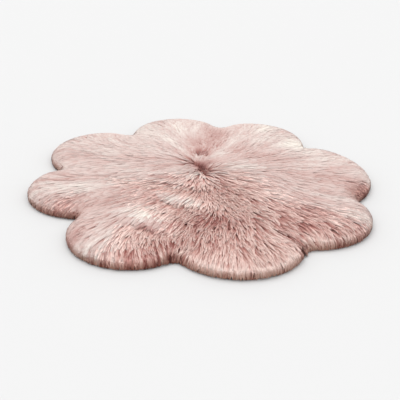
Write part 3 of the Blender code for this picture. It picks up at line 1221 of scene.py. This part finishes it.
# The deep rose is partly painted shade, for the bottom of the pile.
mottled = add(tree, "ShaderNodeValToRGB", {"Fac": mottle}, stops=((0.3, "#5e3a35"), (0.7, "#8a5a52")))
matting = add(tree, "ShaderNodeBump", {"Height": mottle, "Strength": 0.6, "Distance": 0.001})
shader = add(tree, "ShaderNodeBsdfPrincipled", {
    "Base Color": mottled, "Normal": matting, "Roughness": 0.9, "Specular IOR Level": 0.2})
add(tree, "ShaderNodeOutputMaterial", {"Surface": shader})
mesh.materials.append(under_finish)
underfur = new_object("underfur", mesh)
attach(underfur, "root")
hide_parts("fur_rug")
print("underfur:", len(mesh.polygons), "faces")

# %% [markdown]
# ## Ground cloth
# Turn the rug over and the ground shows: a plain cream cloth, warp-knitted in polyester, with the
# pile tied into its loops and a thin backing coat that holds them. It is cut along the petals a
# little inside the pile, which hides its edge. It could be one flat face, but a real sheet has
# two sides and an edge, so it is lofted through rings: out over the top, round the edge and back
# along the bottom. It is the one true sheet of this rug, and the pile and the underfur go with it.

# %% Ground cloth
CLOTH_THICKNESS = 0.0025
CLOTH_INSET = 0.018
CLOTH_RINGS = 12
CLOTH_EDGE_ROUND = 0.997
SHARP_EDGE = math.radians(35)
RAYS_PER_CLOTH_POINT = 4

cloth_edge = (outline - rim_outward * CLOTH_INSET)[::RAYS_PER_CLOTH_POINT]
cloth_points = len(cloth_edge)
spread = [CLOTH_EDGE_ROUND * (ring + 1) / CLOTH_RINGS for ring in range(CLOTH_RINGS)]
loft = [(scale, CLOTH_THICKNESS) for scale in spread]
loft += [(1.0, CLOTH_THICKNESS / 2)]
loft += [(scale, 0.0) for scale in reversed(spread)]
cloth_places = [np.array((*middle, CLOTH_THICKNESS))]
for scale, height in loft:
    cloth_places.extend(at_height(middle + (cloth_edge - middle) * scale, height))
cloth_places.append(np.array((*middle, 0.0)))

cloth_faces = []
for k in range(cloth_points):
    following = (k + 1) % cloth_points
    cloth_faces.append((0, 1 + k, 1 + following))
    for ring in range(len(loft) - 1):
        inner = 1 + ring * cloth_points
        outer = inner + cloth_points
        cloth_faces.append((inner + k, outer + k, outer + following, inner + following))
    last = 1 + (len(loft) - 1) * cloth_points
    cloth_faces.append((last + k, len(cloth_places) - 1, last + following))

mesh = bpy.data.meshes.new("ground_cloth")
mesh.from_pydata([tuple(place) for place in cloth_places], [], cloth_faces)
mesh.update()
mesh.shade_smooth()
mesh.set_sharp_from_angle(angle=SHARP_EDGE)
ground_cloth = new_object("ground_cloth", mesh)
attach(ground_cloth, "root")
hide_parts("fur_rug")

# %% [markdown]
# ## The ground's finish
# Knitted polyester is matt and slightly uneven: columns of little loops, each column a rib, and a
# cream colour that drifts over some seven centimetres, with a touch of painted shade that greys it
# in the furrows. Real ribs stand about 1.3 mm apart. They are drawn at 3 mm, so that they can be
# made out at all from where anybody would look.

# %% Knitted ground finish
RIB_SPACING = 0.003
LOOP_SPACING = 0.0022
SHADES_PER_METRE = 14.0

# A wave texture repeats after this many metres at a scale of one.
WAVE_LENGTH = 2 * math.pi / 20

knit_finish, tree = blank_material("cream knitted polyester ground")
where = add(tree, "ShaderNodeTexCoord").outputs["Object"]
ribs, loops = (
    add(tree, "ShaderNodeTexWave", {
        "Vector": where, "Scale": WAVE_LENGTH / spacing, "Distortion": 0.6,
        "Detail": 1.0, "Detail Scale": 2.0}, bands_direction=direction)
    for spacing, direction in ((RIB_SPACING, "X"), (LOOP_SPACING, "Y")))
knit = add(tree, "ShaderNodeMath", {
    0: ribs.outputs["Fac"], 1: loops.outputs["Fac"]}, operation="MULTIPLY")
unevenness = add(tree, "ShaderNodeTexNoise", {
    "Vector": where, "Scale": SHADES_PER_METRE, "Detail": 3.0})
# Painted shade in the furrows, added to the cloth's real drift of tone.
furrow_shade_and_drift = add(tree, "ShaderNodeMath", {0: knit, 1: unevenness}, operation="ADD")
cream = add(tree, "ShaderNodeValToRGB", {"Fac": furrow_shade_and_drift}, stops=((0.3, "#cfc5b4"), (1.0, "#ece5d8")))
loop_relief = add(tree, "ShaderNodeBump", {"Height": knit, "Strength": 0.7, "Distance": 0.0005})
shader = add(tree, "ShaderNodeBsdfPrincipled", {
    "Base Color": cream, "Normal": loop_relief, "Roughness": 0.85, "IOR": 1.5,
    "Specular IOR Level": 0.2})
add(tree, "ShaderNodeOutputMaterial", {"Surface": shader})
ground_cloth.data.materials.append(knit_finish)
print("knit finish has", len(tree.nodes), "nodes")

# %% [markdown]
# ## Counting up
# The whole rug has to stay light enough to use, so the triangles are added up here. Fur may stand
# a little proud of it, but not more.

# %% Triangles
triangles = {
    piece.name: sum(len(face.vertices) - 2 for face in piece.data.polygons)
    for piece in [*pile, underfur, ground_cloth]}
print("triangles:", triangles, "in all", sum(triangles.values()))
